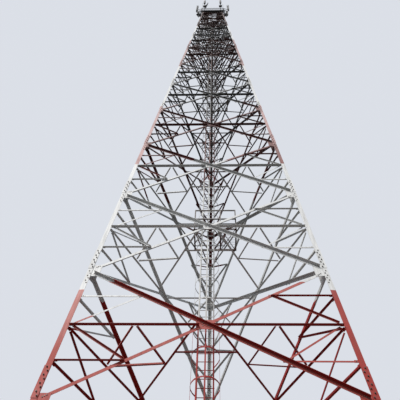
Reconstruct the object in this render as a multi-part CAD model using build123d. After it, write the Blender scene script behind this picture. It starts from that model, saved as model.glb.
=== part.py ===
"""Self-supporting three-legged lattice radio mast at half its real size.

A straight, tapered tower on an equilateral triangle: three legs of 60 degree angle, X braced
panels with redundant members on each face, plan bracing at every crossing, a caged ladder behind
the front face, rest platforms, and a head platform with antennas.
The front face looks to -Y and the third leg stands at the back. Everything is built about the
tower's own axis and moved at the end, so that the origin lies under the back leg.
"""
from build123d import *
import math
import os

# Overall form
HEIGHT = 28500.0
BASE_WIDTH = 4180.0
TOP_WIDTH = 1045.0
PANEL_RISE = 2500.0
LEAST_PANEL_RISE = 800.0
BASE_NODE = 260.0
HEAD_NODE = 150.0
TIER_PANELS = 4
TIERS = 3

# Legs, with flanges that narrow from one tier to the next
LEG_FLANGES = (76.0, 70.0, 62.0)
LEG_THICKNESS = 6.0
SPLICE_THICKNESS = 4.0
SPLICE_FROM = 60.0
SPLICE_LENGTH = 500.0
SPLICE_MARGIN = 5.0

# Face bracing
GUSSET = 5.0
GUSSET_EDGE = 30.0
GUSSET_OVERLAP = 0.03
GUSSET_OVERLAP_LEAST = 50.0
LEVEL_GUSSET_REACH = 45.0
DIAGONAL_WIDTHS = (50.0, 42.0, 34.0)
DIAGONAL_THICKNESS = 4.0
HORIZONTAL_WIDTH = 26.0
HORIZONTAL_FLANGE = 24.0
HORIZONTAL_THICKNESS = 3.0
CENTRE_REACH = 0.034
CENTRE_REACH_LEAST = 60.0
CENTRE_SQUAT = 0.7
CENTRE_LAP = 0.5
BAR_GAP = 8.0

# Plan bracing
PLAN_THICKNESS = 4.0
PLAN_WIDTH = 32.0
PLAN_LEAST_WIDTH = 1500.0
PLAN_FACE_GAP = 1.0
LADDER_GAP = 0.3
COPE = 45.0
COPE_TONGUE = 13.0

# Foot plates
PLATE_SIDE = 340.0
PLATE_THICKNESS = 20.0
PLATE_HOLE_SPACING = 250.0
PLATE_HOLE_RADIUS = 14.0
STIFFENER_HEIGHT = 120.0
STIFFENER_THICKNESS = 8.0

# Ladder and its cage
LADDER_DEPTH = 475.0
LADDER_WIDTH = 210.0
STRINGER_DEPTH = 30.0
STRINGER_THICKNESS = 6.0
RUNG = 10.0
RUNG_PITCH = 300.0
LADDER_FROM = 300.0
LADDER_ABOVE = 500.0
CAGE_FROM = 1300.0
CAGE_DEPTH = 365.0
CAGE_WIDTH = 370.0
HOOP_PITCH = 1000.0
HOOP_HEIGHT = 25.0
HOOP_THICKNESS = 3.0
STRAP_WIDTH = 20.0
STRAP_THICKNESS = 3.0
SIDE_STRAP_SEAT = 3.9
CAGE_WAIST = 0.45

# Rest platforms
PLATFORM_PANELS = (2, 5, 8)
PLATFORM_LEFT = -245.0
PLATFORM_HATCH = 205.0
PLATFORM_RIGHT = 500.0
PLATFORM_BAR = 25.0
PLATFORM_HEIGHT = 30.0
PLATFORM_INSET = 64.0
PLATFORM_PLATE = 4.0
RAIL = 20.0
RAIL_HEIGHT = 640.0
RAIL_DEPTH = 66.0

# Head platform and what it carries
DECK_SIDE = 1240.0
DECK_CORNER = 60.0
DECK_BAR = 30.0
DECK_HEIGHT = 40.0
DECK_HATCH_MARGIN = 30.0
HEAD_RAIL_HEIGHT = 520.0
HEAD_PIPE_FLAT = 21.0
HEAD_PIPE_BELOW = 150.0
HEAD_PIPE_ABOVE = 1600.0
HEAD_PIPE_SPREAD = 420.0
HEAD_ARM = 240.0
PANEL_WIDTH = 140.0
PANEL_DEPTH = 60.0
PANEL_HEIGHT = 1050.0
PANEL_BASE = 450.0
PANEL_STANDOFF = 40.0
ROD_RADIUS = 10.0
ROD_HEIGHT = 2400.0
LAMP_RADIUS = 55.0
LAMP_HEIGHT = 120.0
LAMP_BASE_HEIGHT = 36.0
LAMP_DOME_TAPER = 8.0
LAMP_SIDES = 12

# Derived geometry
TAPER = (BASE_WIDTH - TOP_WIDTH) / HEIGHT
FACE_SLOPE = TAPER / (2 * math.sqrt(3))
FACE_ANGLE = math.atan(FACE_SLOPE)
LEG_LEAN = TAPER / 2
PANELS = math.ceil((HEIGHT - HEAD_NODE - LEAST_PANEL_RISE) / PANEL_RISE)
LAYER_OUT = -LEG_THICKNESS
LAYER_IN = -LEG_THICKNESS - GUSSET
CORNER_RADIUS = BASE_WIDTH / math.sqrt(3)


def width_at(z):
    """Face width between leg corners at height z."""
    return BASE_WIDTH - TAPER * z


def inradius_at(z):
    """Distance from the axis to each face at height z."""
    return width_at(z) / (2 * math.sqrt(3))


def level(index):
    """Height of a leg node."""
    if index == 0:
        return BASE_NODE
    return HEIGHT - HEAD_NODE if index == PANELS else index * PANEL_RISE


def panels_of(tier):
    """The panels of a tier; the top tier takes what is left of the height."""
    return range(tier * TIER_PANELS, PANELS if tier == TIERS - 1 else (tier + 1) * TIER_PANELS)


def crossing(index):
    """Height where the two diagonals of a panel cross."""
    low, high = width_at(level(index)), width_at(level(index + 1))
    return level(index) + (level(index + 1) - level(index)) * low / (low + high)


def plan_level(index):
    """Height of the seat that the horizontals give the plan bracing."""
    along = crossing(index) / math.cos(FACE_ANGLE) + HORIZONTAL_WIDTH / 2
    return along * math.cos(FACE_ANGLE) + LAYER_IN * math.sin(FACE_ANGLE)


def tier_of(index):
    return min(index // TIER_PANELS, TIERS - 1)


FRONT = Plane(origin=(0, -inradius_at(0), 0), x_dir=(1, 0, 0),
              z_dir=(0, -math.cos(FACE_ANGLE), math.sin(FACE_ANGLE)))


def face_point(side, inset, z):
    """A point of the front face, measured in from the left (-1) or right (1) leg's corner."""
    return Vector(side * (width_at(z) / 2 - inset), z / math.cos(FACE_ANGLE))


def polygon(points):
    return make_face(Polyline(*points, close=True))


def flat(start, end, width):
    """A flat strip between two points of a plane."""
    run = end - start
    middle = (start + end) / 2
    strip = Rectangle(run.length, width)
    return Pos(middle.X, middle.Y) * Rot(Z=math.degrees(math.atan2(run.Y, run.X))) * strip


def prism(start, end, outline):
    """A bar along two points of the face plane; its outline is (across, outward) points."""
    run = end - start
    along = Vector(run.X, run.Y, 0).normalized()
    section = Plane(origin=(start.X, start.Y, 0), x_dir=(-along.Y, along.X, 0), z_dir=along)
    return extrude(section * polygon(outline), amount=run.length)


def angle_outline(width, thickness, base, outward):
    """An L with one flange flat on the height base and the other at its lower edge."""
    half = width / 2
    return [(-half, base), (half, base), (half, base + outward * thickness),
            (-half + thickness, base + outward * thickness),
            (-half + thickness, base + outward * width), (-half, base + outward * width)]


def around(part, turn):
    return Rot(Z=120 * turn) * part


# Legs

def leg_tier(tier):
    """One length of the front left leg, a 60 degree angle, with its splice covers."""
    low = PLATE_THICKNESS if tier == 0 else level(tier * TIER_PANELS)
    high = HEIGHT if tier == TIERS - 1 else level((tier + 1) * TIER_PANELS)
    leg = leg_length(low, high, LEG_FLANGES[tier], 0, LEG_THICKNESS)
    for index in panels_of(tier):
        if index == 0:
            continue
        start = level(index) + SPLICE_FROM
        cover = leg_length(start, start + SPLICE_LENGTH, LEG_FLANGES[tier] - SPLICE_MARGIN,
                           SPLICE_THICKNESS, 0)
        leg += cover
    return leg


def leg_length(low, high, flange, outside, inside):
    """A V along the left leg's corner line, between two heights and two offsets of its faces."""
    half = math.radians(30)
    corner_out = outside / math.sin(half)
    corner_in = inside / math.sin(half)
    points = []
    for side in (1, -1):
        direction = Vector(math.cos(half), side * math.sin(half))
        outward = Vector(-math.sin(half), side * math.cos(half))
        points.append((direction * flange + outward * outside, direction * flange - outward * inside))
    outline = [Vector(-corner_out, 0), points[0][0], points[0][1], Vector(corner_in, 0),
               points[1][1], points[1][0]]
    corner = width_at(low) / math.sqrt(3)
    section = Plane(origin=(-corner, 0, low), x_dir=(1, 0, 0), z_dir=(0, 0, 1))
    face = section * polygon([(p.X, p.Y) for p in outline])
    rise = high - low
    lean = Vector((width_at(low) - width_at(high)) / math.sqrt(3), 0, rise)
    leg = extrude(face, amount=lean.length, dir=lean)
    return Rot(Z=30) * leg


# Foot plates

def foot_plate():
    """Square plate under the back leg, with a shoe against the leg's outer faces."""
    reach = CORNER_RADIUS - LEG_FLANGES[0] / 2
    plate = Pos(0, reach, PLATE_THICKNESS / 2) * Box(PLATE_SIDE, PLATE_SIDE, PLATE_THICKNESS)
    for dx in (-1, 1):
        for dy in (-1, 1):
            place = Pos(dx * PLATE_HOLE_SPACING / 2, reach + dy * PLATE_HOLE_SPACING / 2,
                        PLATE_THICKNESS / 2)
            plate -= place * Cylinder(PLATE_HOLE_RADIUS, PLATE_THICKNESS)
    shoe = leg_length(PLATE_THICKNESS, PLATE_THICKNESS + STIFFENER_HEIGHT,
                      LEG_FLANGES[0], STIFFENER_THICKNESS, 0)
    return plate + around(shoe, 2)


# Face bracing

def bar_inset(tier):
    """How far the middle of a diagonal's end stands from the leg's corner line."""
    return LEG_FLANGES[tier] + BAR_GAP + DIAGONAL_WIDTHS[tier] / 2


def clear_length(tier, run):
    """Length along a diagonal, away from its node, that clears the leaning leg's flange."""
    return bar_inset(tier) / (abs(run.X) - LEG_LEAN * run.Y)


def gusset_overlap(z):
    return max(GUSSET_OVERLAP * width_at(z), GUSSET_OVERLAP_LEAST)


def centre_reach(index):
    return max(CENTRE_REACH * width_at(crossing(index)), CENTRE_REACH_LEAST)


def diagonal_run(index, side, rising):
    """Unit direction of the diagonal that leaves a leg at a panel's foot or head."""
    low, high = (index, index + 1) if rising else (index + 1, index)
    return (face_point(-side, 0, level(high)) - face_point(side, 0, level(low))).normalized()


def node_gusset(index, side):
    """Plate at a leg node that reaches under the ends of its diagonals."""
    node = face_point(side, 0, level(index))
    tips = []
    for panel, rising in ((index - 1, False), (index, True)):
        if 0 <= panel < PANELS:
            run = diagonal_run(panel, side, rising)
            inset = clear_length(tier_of(panel), run)
            tips.append(node + run * (inset + gusset_overlap(level(index))))
    low, high = min(tip.Y for tip in tips), max(tip.Y for tip in tips)
    if len(tips) == 1:
        low, high = min(low, node.Y), max(high, node.Y)
    edge = face_point(side, GUSSET_EDGE, level(index))
    inward = max(abs(tip.X - node.X) for tip in tips)
    corners = []
    for y in (low, high):
        on_leg = face_point(side, GUSSET_EDGE, y * math.cos(FACE_ANGLE))
        tip = face_point(side, inward, y * math.cos(FACE_ANGLE))
        corners.append((on_leg, tip))
    (a, b), (c, d) = corners
    return polygon([(p.X, p.Y) for p in (a, b, d, c)])


def level_gusset(index, side):
    """Plate where a horizontal meets a leg."""
    reach = horizontal_start(index) + LEVEL_GUSSET_REACH
    corners = []
    for z, inset in ((-HORIZONTAL_WIDTH, GUSSET_EDGE), (-HORIZONTAL_WIDTH, reach),
                     (HORIZONTAL_WIDTH, reach), (HORIZONTAL_WIDTH, GUSSET_EDGE)):
        corners.append(face_point(side, inset, crossing(index) + z))
    return polygon([(p.X, p.Y) for p in corners])


def horizontal_start(index):
    """Inset of a horizontal's end, past the leg's flange and clear of the next face's bar."""
    deep = -LAYER_IN + HORIZONTAL_FLANGE + PLAN_FACE_GAP
    return max(LEG_FLANGES[tier_of(index)] + BAR_GAP, deep * math.sqrt(3))


def panel_layer(index):
    """The flat layer of a panel: the plate at the crossing and a plate at each leg."""
    middle = crossing(index) / math.cos(FACE_ANGLE)
    reach = centre_reach(index)
    layer = Pos(0, middle) * Rectangle(2 * reach, 2 * reach * CENTRE_SQUAT)
    for side in (-1, 1):
        layer += level_gusset(index, side)
    return layer


def horizontal_outline():
    """An L whose upper flange lies level although the face leans."""
    half = HORIZONTAL_WIDTH / 2
    lean = math.tan(FACE_ANGLE)
    deep = LAYER_IN - HORIZONTAL_FLANGE
    wall = LAYER_IN - HORIZONTAL_THICKNESS
    top = half + HORIZONTAL_FLANGE * lean
    return [(-half, LAYER_IN), (half, LAYER_IN), (top, deep), (top - HORIZONTAL_THICKNESS, deep),
            (half + HORIZONTAL_THICKNESS * lean - HORIZONTAL_THICKNESS, wall), (-half, wall)]


def face_tier(tier):
    """All bracing of one tier of the front face, in the face's own plane."""
    panels = panels_of(tier)
    width = DIAGONAL_WIDTHS[tier]
    layer = None
    bars = []
    for index in panels:
        flat_layer = panel_layer(index)
        layer = flat_layer if layer is None else layer + flat_layer
        for side in (-1, 1):
            layer += node_gusset(index + 1, side)
            if index == 0:
                layer += node_gusset(0, side)
        for side, base, outward in ((-1, LAYER_IN, -1), (1, LAYER_OUT, 1)):
            start = face_point(side, 0, level(index))
            end = face_point(-side, 0, level(index + 1))
            run = (end - start).normalized()
            inset_low, inset_high = clear_length(tier, run), clear_length(tier, -run)
            outline = angle_outline(width, DIAGONAL_THICKNESS, base, outward)
            if side < 0:
                outline = [(-across, out) for across, out in outline]
            bars.append(prism(start + run * inset_low, end - run * inset_high, outline))
        for side in (-1, 1):
            start = face_point(side, horizontal_start(index), crossing(index))
            end = Vector(side * centre_reach(index) * CENTRE_LAP, start.Y)
            ends = (start, end) if side < 0 else (end, start)
            bars.append(prism(*ends, horizontal_outline()))
    bracing = Pos(0, 0, LAYER_IN) * extrude(layer, amount=GUSSET)
    return FRONT.location * (bracing + bars)


# Plan bracing

def triangle(inradius):
    """Equilateral triangle about the axis with one side facing -Y."""
    corner = 2 * inradius
    points = [(corner * math.cos(math.radians(a)), corner * math.sin(math.radians(a)))
              for a in (90, 210, 330)]
    return polygon(points)


def plan_bracing(index):
    """The flat bars of one level: the inner triangle's three and the ladder's beam."""
    z = plan_level(index)
    inradius = inradius_at(z)
    width = width_at(z)
    depth = -LAYER_IN + DIAGONAL_THICKNESS + PLAN_FACE_GAP
    seat = triangle(inradius - depth)
    reach = centre_reach(index)
    beam_y = -inradius + LADDER_DEPTH + STRINGER_DEPTH + LADDER_GAP + PLAN_WIDTH / 2
    beam = flat(Vector(-width / 2, beam_y), Vector(width / 2, beam_y), PLAN_WIDTH)
    if width < PLAN_LEAST_WIDTH:
        tongue_y = beam_y - (PLAN_WIDTH - COPE_TONGUE) / 2
        coped = flat(Vector(-width / 2, tongue_y), Vector(width / 2, tongue_y), COPE_TONGUE)
        beam = (beam & triangle(inradius - depth - COPE)) + (coped & seat)
        return [Pos(0, 0, z) * extrude(beam, amount=PLAN_THICKNESS)]
    room = []
    bars = []
    for turn in range(3):
        start = Vector(reach, -inradius).rotate(Axis.Z, 120 * turn)
        end = Vector(-reach, -inradius).rotate(Axis.Z, 120 * (turn + 1))
        room += [start, end]
        run = (end - start).normalized()
        bars.append(flat(start - run * PLAN_WIDTH, end + run * PLAN_WIDTH, PLAN_WIDTH) & seat)
    beam &= polygon([(p.X, p.Y) for p in room])
    for bar in bars:
        beam -= bar
    return [Pos(0, 0, z) * extrude(shape, amount=PLAN_THICKNESS) for shape in bars + [beam]]


# Ladder and cage, in a plane parallel to the front face

LADDER = Plane(origin=(0, -inradius_at(0) + LADDER_DEPTH, 0), x_dir=(1, 0, 0),
               z_dir=(0, -math.cos(FACE_ANGLE), math.sin(FACE_ANGLE)))


def along(z):
    """Distance up the leaning plane for a height."""
    return z / math.cos(FACE_ANGLE)


def ladder_stringers():
    start, end = along(LADDER_FROM), along(HEIGHT + LADDER_ABOVE)
    stringers = []
    for side in (-1, 1):
        place = Pos(side * (LADDER_WIDTH + STRINGER_THICKNESS) / 2, (start + end) / 2, -STRINGER_DEPTH / 2)
        stringers.append(place * Box(STRINGER_THICKNESS, end - start, STRINGER_DEPTH))
    return LADDER.location * (stringers[0] + stringers[1:])


def ladder_rungs():
    """Square rungs between the stringers, each a bar of its own."""
    first = math.ceil((along(LADDER_FROM) + RUNG) / RUNG_PITCH)
    last = math.floor((along(HEIGHT + LADDER_ABOVE) - RUNG) / RUNG_PITCH)
    rung = Box(LADDER_WIDTH, RUNG, RUNG)
    return [LADDER.location * (Pos(0, count * RUNG_PITCH, -STRINGER_DEPTH / 2) * rung)
            for count in range(first, last + 1)]


def hoop_arm(inset):
    """Corners of a hoop's left arm, from the stringer to the front bar."""
    half = CAGE_WIDTH / 2 - inset
    foot = LADDER_WIDTH / 2 + STRINGER_THICKNESS - inset
    return [(-foot, -inset), (-half, CAGE_DEPTH * CAGE_WAIST), (-CAGE_WIDTH / 4, CAGE_DEPTH - inset)]


def hoop_range():
    """Numbers of the lowest and the highest hoop."""
    return math.ceil(along(CAGE_FROM) / HOOP_PITCH), math.floor(along(HEIGHT) / HOOP_PITCH) - 1


def cage_hoops():
    """Few-sided hoops of flat bar, each of two bent arms and a front bar."""
    arm = polygon(hoop_arm(0) + hoop_arm(HOOP_THICKNESS)[::-1])
    arm &= Pos(0, CAGE_DEPTH / 2) * Rectangle(CAGE_WIDTH, CAGE_DEPTH)
    front = Pos(0, CAGE_DEPTH - HOOP_THICKNESS / 2) * Rectangle(CAGE_WIDTH / 2, HOOP_THICKNESS)
    first, last = hoop_range()
    hoops = []
    for count in range(first, last + 1):
        place = Plane(origin=(0, count * HOOP_PITCH, 0), x_dir=(1, 0, 0), z_dir=(0, -1, 0))
        for part in (arm, front, mirror(arm, about=Plane.YZ)):
            hoops.append(LADDER.location * extrude(place * part, amount=HOOP_HEIGHT))
    return hoops


def cage_straps():
    """Three upright straps inside the front of the hoops and one at each side."""
    first, last = hoop_range()
    bottom, top = first * HOOP_PITCH - HOOP_HEIGHT, last * HOOP_PITCH
    middle, length = (bottom + top) / 2, top - bottom
    front = CAGE_DEPTH - HOOP_THICKNESS - STRAP_THICKNESS / 2
    spread = CAGE_WIDTH / 4 - STRAP_WIDTH
    straps = [Pos(x, middle, front) * Box(STRAP_WIDTH, length, STRAP_THICKNESS)
              for x in (-spread, 0, spread)]
    slant = Vector(CAGE_WIDTH / 4, CAGE_DEPTH * (1 - CAGE_WAIST))
    lean = math.degrees(math.atan2(slant.Y, -slant.X))
    halfway = Vector(CAGE_WIDTH * 3 / 8, CAGE_DEPTH * (1 + CAGE_WAIST) / 2)
    for side in (-1, 1):
        inward = Vector(-slant.Y, -slant.X).normalized() * SIDE_STRAP_SEAT
        place = Pos(side * (halfway.X + inward.X), middle, halfway.Y + inward.Y)
        straps.append(place * Rot(Y=-side * lean) * Box(STRAP_WIDTH, length, STRAP_THICKNESS))
    return [LADDER.location * strap for strap in straps]


# Rest platforms

def platform_seat(index):
    return plan_level(index) + PLAN_THICKNESS


def platform_front(index):
    return -inradius_at(platform_seat(index)) + PLATFORM_INSET


def rest_platform(index):
    """Frame round the climbing hatch with a plate beside it."""
    front = platform_front(index)
    back = front - PLATFORM_INSET + LADDER_DEPTH + STRINGER_DEPTH + PLAN_WIDTH
    width, depth = PLATFORM_RIGHT - PLATFORM_LEFT, back - front
    centre = Pos((PLATFORM_LEFT + PLATFORM_RIGHT) / 2, (front + back) / 2)
    frame = centre * Rectangle(width, depth)
    hatch_width = PLATFORM_HATCH - PLATFORM_LEFT - PLATFORM_BAR
    hatch_x = PLATFORM_LEFT + PLATFORM_BAR + hatch_width / 2
    inner_depth = depth - 2 * PLATFORM_BAR
    hatch = Pos(hatch_x, (front + back) / 2) * Rectangle(hatch_width, inner_depth)
    rest_width = PLATFORM_RIGHT - PLATFORM_HATCH - 2 * PLATFORM_BAR
    rest_x = PLATFORM_RIGHT - PLATFORM_BAR - rest_width / 2
    rest = Pos(rest_x, (front + back) / 2) * Rectangle(rest_width, inner_depth)
    platform = extrude(frame - hatch - rest, amount=PLATFORM_HEIGHT)
    plate_width = PLATFORM_RIGHT - PLATFORM_HATCH
    plate = Pos(PLATFORM_HATCH + plate_width / 2, (front + back) / 2) * Rectangle(plate_width, depth)
    platform += Pos(0, 0, PLATFORM_HEIGHT) * extrude(plate, amount=PLATFORM_PLATE)
    return Pos(0, 0, platform_seat(index)) * platform


def rest_railing(index):
    """Guard rail along the front of a rest platform, leaning with the face."""
    floor = platform_seat(index) + PLATFORM_HEIGHT
    deep = RAIL_DEPTH + RAIL
    start = (floor + deep * math.sin(FACE_ANGLE)) / math.cos(FACE_ANGLE)
    left = PLATFORM_LEFT + PLATFORM_BAR / 2
    middle = PLATFORM_HATCH + PLATFORM_BAR / 2
    right = PLATFORM_RIGHT - PLATFORM_BAR / 2
    depth = -RAIL_DEPTH - RAIL / 2
    posts = []
    for x, foot in ((left, 0), (middle, PLATFORM_PLATE), (right, PLATFORM_PLATE)):
        height = RAIL_HEIGHT - foot
        posts.append(Pos(x, start + foot + height / 2, depth) * Box(RAIL, height, RAIL))
    rails = []
    for height in (RAIL_HEIGHT / 2, RAIL_HEIGHT - RAIL / 2):
        rails.append(Pos((left + right) / 2, start + height, depth) * Box(right - left, RAIL, RAIL))
    return FRONT.location * (posts[0] + posts[1:] + rails)


# Head platform, antennas, rod and lamp

def deck_outline(inset):
    """A triangle with cut corners, one long side to the front."""
    side = DECK_SIDE / 2 - DECK_CORNER / 2
    inradius = ring_face() - inset
    corners = []
    long_half = side - inset / math.sqrt(3)
    for turn in range(3):
        for x in (-long_half, long_half):
            corners.append(Vector(x, -inradius).rotate(Axis.Z, 120 * turn))
    return [(p.X, p.Y) for p in corners]


def head_platform():
    """Ring, bars over the legs and a thin floor with a hatch for the ladder."""
    outer = polygon(deck_outline(0))
    frame = outer - polygon(deck_outline(DECK_BAR))
    width = width_at(HEIGHT)
    inradius = inradius_at(HEIGHT)
    reach = DECK_SIDE
    bars = None
    for turn in range(3):
        bar = flat(Vector(-reach, -inradius + DECK_BAR / 2), Vector(reach, -inradius + DECK_BAR / 2), DECK_BAR)
        bar = Rot(Z=120 * turn) * bar
        bars = bar if bars is None else bars + bar
    frame += bars & outer
    ladder_y = -inradius + LADDER_DEPTH
    front = ladder_y - CAGE_DEPTH - DECK_HATCH_MARGIN
    back = ladder_y + STRINGER_DEPTH + DECK_HATCH_MARGIN
    hatch = Pos(0, (front + back) / 2) * Rectangle(CAGE_WIDTH + 2 * DECK_HATCH_MARGIN, back - front)
    deck = extrude(frame - hatch, amount=DECK_HEIGHT)
    floor = Pos(0, 0, DECK_HEIGHT) * extrude(outer - hatch, amount=PLATFORM_PLATE)
    return Pos(0, 0, HEIGHT) * (deck + floor)


def head_railing():
    """Two rails and six posts round the head platform."""
    ring = polygon(deck_outline(0)) - polygon(deck_outline(RAIL))
    floor = HEIGHT + DECK_HEIGHT + PLATFORM_PLATE
    corners = deck_outline(RAIL / 2)
    rails = []
    for height in (HEAD_RAIL_HEIGHT / 2, HEAD_RAIL_HEIGHT - RAIL):
        rails.append(Pos(0, 0, height) * extrude(ring, amount=RAIL))
    posts = [Pos(x, y, HEAD_RAIL_HEIGHT / 2) * Box(RAIL, RAIL, HEAD_RAIL_HEIGHT) for x, y in corners]
    return Pos(0, 0, floor) * (rails[0] + rails[1:] + posts)


def ring_face():
    """Distance from the axis to the outer face of the head platform's ring."""
    return (DECK_SIDE + DECK_CORNER) / (2 * math.sqrt(3))


def head_places():
    """Centres of the antenna pipes, out from the ring's long sides."""
    out = ring_face() + HEAD_ARM
    return [(turn, x, -out) for turn in range(3) for x in (-HEAD_PIPE_SPREAD, HEAD_PIPE_SPREAD)]


def head_pipes():
    """Upright pipes, each on one arm from the ring and one from the top rail."""
    pipe = extrude(RegularPolygon(HEAD_PIPE_FLAT, 8, major_radius=False, rotation=22.5),
                   amount=HEAD_PIPE_BELOW + HEAD_PIPE_ABOVE)
    length = HEAD_ARM - HEAD_PIPE_FLAT
    top_rail = DECK_HEIGHT + PLATFORM_PLATE + HEAD_RAIL_HEIGHT - RAIL / 2
    pipes = []
    for turn, x, y in head_places():
        post = Pos(x, y, HEIGHT - HEAD_PIPE_BELOW) * pipe
        for height in (DECK_HEIGHT / 2, top_rail):
            post += Pos(x, -ring_face() - length / 2, HEIGHT + height) * Box(RAIL, length, RAIL)
        pipes.append(around(post, turn))
    return pipes[0] + pipes[1:]


def panel_antennas():
    """A flat antenna on two brackets in front of each pipe."""
    antennas = []
    for turn, x, y in head_places():
        flat_side = y - HEAD_PIPE_FLAT
        face = flat_side - PANEL_STANDOFF - PANEL_DEPTH / 2
        middle = HEIGHT + PANEL_BASE + PANEL_HEIGHT / 2
        box = Pos(x, face, middle) * Box(PANEL_WIDTH, PANEL_DEPTH, PANEL_HEIGHT)
        for height in (PANEL_BASE + PANEL_HEIGHT * 0.2, PANEL_BASE + PANEL_HEIGHT * 0.8):
            bracket = Pos(x, flat_side - PANEL_STANDOFF / 2, HEIGHT + height)
            box += bracket * Box(RAIL, PANEL_STANDOFF, RAIL)
        antennas.append(around(box, turn))
    return antennas[0] + antennas[1:]


def lightning_rod():
    y = 2 * inradius_at(HEIGHT) - DECK_BAR
    floor = HEIGHT + DECK_HEIGHT + PLATFORM_PLATE
    rod = extrude(RegularPolygon(ROD_RADIUS, 8), amount=ROD_HEIGHT)
    foot = extrude(Rectangle(ROD_RADIUS * 6, ROD_RADIUS * 6), amount=PLATFORM_PLATE)
    return Pos(0, y, floor) * (foot + rod)


def obstruction_lamp():
    """A round base under a dome of glass that narrows upwards."""
    floor = HEIGHT + DECK_HEIGHT + PLATFORM_PLATE
    base = extrude(RegularPolygon(LAMP_RADIUS, LAMP_SIDES), amount=LAMP_BASE_HEIGHT)
    dome = extrude(RegularPolygon(LAMP_RADIUS * 0.8, LAMP_SIDES),
                   amount=LAMP_HEIGHT - LAMP_BASE_HEIGHT, taper=LAMP_DOME_TAPER)
    lamp = base + Pos(0, 0, LAMP_BASE_HEIGHT) * dome
    return Pos(0, -ring_face() + DECK_BAR + LAMP_RADIUS, floor) * lamp


def write(name, part):
    pieces = part if isinstance(part, list) else [part]
    solids = [solid for piece in pieces for solid in piece.solids()]
    moved = [Pos(0, -FOOT_Y, 0) * solid for solid in solids]
    export_step(moved[0] if len(moved) == 1 else Compound(children=moved), f"parts/{name}.step")


FOOT_Y = CORNER_RADIUS - LEG_FLANGES[0] / 2
SIDES = ("front_left", "front_right", "back")
FACES = ("front", "right", "left")
TIER_NAMES = ("lower", "middle", "upper")

os.makedirs("parts", exist_ok=True)

for turn, side in enumerate(SIDES):
    write(f"foot_plate_{side}", around(foot_plate(), turn + 1))
for tier, name in enumerate(TIER_NAMES):
    leg = leg_tier(tier)
    bracing = face_tier(tier)
    for turn in range(3):
        write(f"leg_{SIDES[turn]}_{name}", around(leg, turn))
        write(f"bracing_{FACES[turn]}_{name}", around(bracing, turn))
    levels = [plan_bracing(index) for index in panels_of(tier)]
    write(f"plan_bracing_{name}", [bar for bars in levels for bar in bars])
for order, index in enumerate(PLATFORM_PANELS):
    write(f"rest_platform_{TIER_NAMES[order]}", rest_platform(index))
    write(f"rest_railing_{TIER_NAMES[order]}", rest_railing(index))
write("ladder_stringers", ladder_stringers())
write("ladder_rungs", ladder_rungs())
write("cage_hoops", cage_hoops())
write("cage_straps", cage_straps())
write("head_platform", head_platform())
write("head_railing", head_railing())
write("antenna_pipes", head_pipes())
write("panel_antennas", panel_antennas())
write("lightning_rod", lightning_rod())
write("obstruction_lamp", obstruction_lamp())
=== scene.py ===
import math

import bmesh
import bpy
from mathutils import Matrix, Vector


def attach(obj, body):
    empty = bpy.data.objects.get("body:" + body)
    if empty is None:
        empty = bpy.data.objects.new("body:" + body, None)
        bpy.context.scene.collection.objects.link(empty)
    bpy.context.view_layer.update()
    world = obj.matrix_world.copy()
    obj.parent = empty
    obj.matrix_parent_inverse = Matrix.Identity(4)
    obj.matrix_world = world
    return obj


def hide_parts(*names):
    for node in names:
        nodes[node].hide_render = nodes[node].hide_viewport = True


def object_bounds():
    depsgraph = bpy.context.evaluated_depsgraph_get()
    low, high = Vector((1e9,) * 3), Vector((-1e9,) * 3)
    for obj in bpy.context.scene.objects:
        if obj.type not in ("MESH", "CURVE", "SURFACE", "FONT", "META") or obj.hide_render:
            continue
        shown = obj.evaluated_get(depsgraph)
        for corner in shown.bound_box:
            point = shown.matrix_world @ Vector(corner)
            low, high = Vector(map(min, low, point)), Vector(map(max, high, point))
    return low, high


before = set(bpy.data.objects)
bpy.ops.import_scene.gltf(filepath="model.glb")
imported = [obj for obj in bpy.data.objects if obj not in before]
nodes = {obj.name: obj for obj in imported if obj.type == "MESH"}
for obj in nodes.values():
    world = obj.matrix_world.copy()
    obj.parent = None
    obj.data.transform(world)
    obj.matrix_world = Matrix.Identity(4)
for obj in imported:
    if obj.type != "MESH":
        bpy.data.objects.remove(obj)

cad_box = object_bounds()


# Where the mast is looked at from: a visitor at its foot, eyes a little under the base plates, head
# thrown back by sixty degrees. The lens is a plain one, with no shift and no depth of field.
CAMERA_PLACE = Vector((0.1456, -8.4402, -1.5544))
CAMERA_PITCH = math.radians(59.933)
CAMERA_TURN = math.radians(3.413)
CAMERA_ROLL = math.radians(2.694)
CAMERA_LENS = 48.75
SIGHT = 400
camera_data = bpy.data.cameras.new("camera")
camera_data.sensor_width = 36
camera_data.lens = CAMERA_LENS
camera_data.clip_end = SIGHT
camera = bpy.data.objects.new("camera", camera_data)
bpy.context.scene.collection.objects.link(camera)
camera.matrix_world = (
    Matrix.Translation(CAMERA_PLACE)
    @ Matrix.Rotation(CAMERA_TURN, 4, "Z")
    @ Matrix.Rotation(math.pi / 2 + CAMERA_PITCH, 4, "X")
    @ Matrix.Rotation(CAMERA_ROLL, 4, "Z")
)
bpy.context.scene.camera = camera
bpy.context.scene.view_settings.view_transform = "Standard"


# The sky: a pale overcast that the eye sees, and a weaker light from it on the steel. A wide soft
# sun stands high in front, to the left, so that faces turned to the viewer are light and the
# undersides are dark.
SKY_SEEN = (0.71, 0.74, 0.80, 1)
SKY_LIGHT = (0.80, 0.88, 1.0, 1)
SKY_STRENGTH = 0.42
SUN_ENERGY = 3.6
SUN_SPREAD = math.radians(22)
SUN_TONE = (1.0, 0.98, 0.95)
SUN_WAY = Vector((0.40, 0.62, -0.90))


def joined(tree, *pairs):
    for out, into in pairs:
        tree.links.new(out, into)


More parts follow.
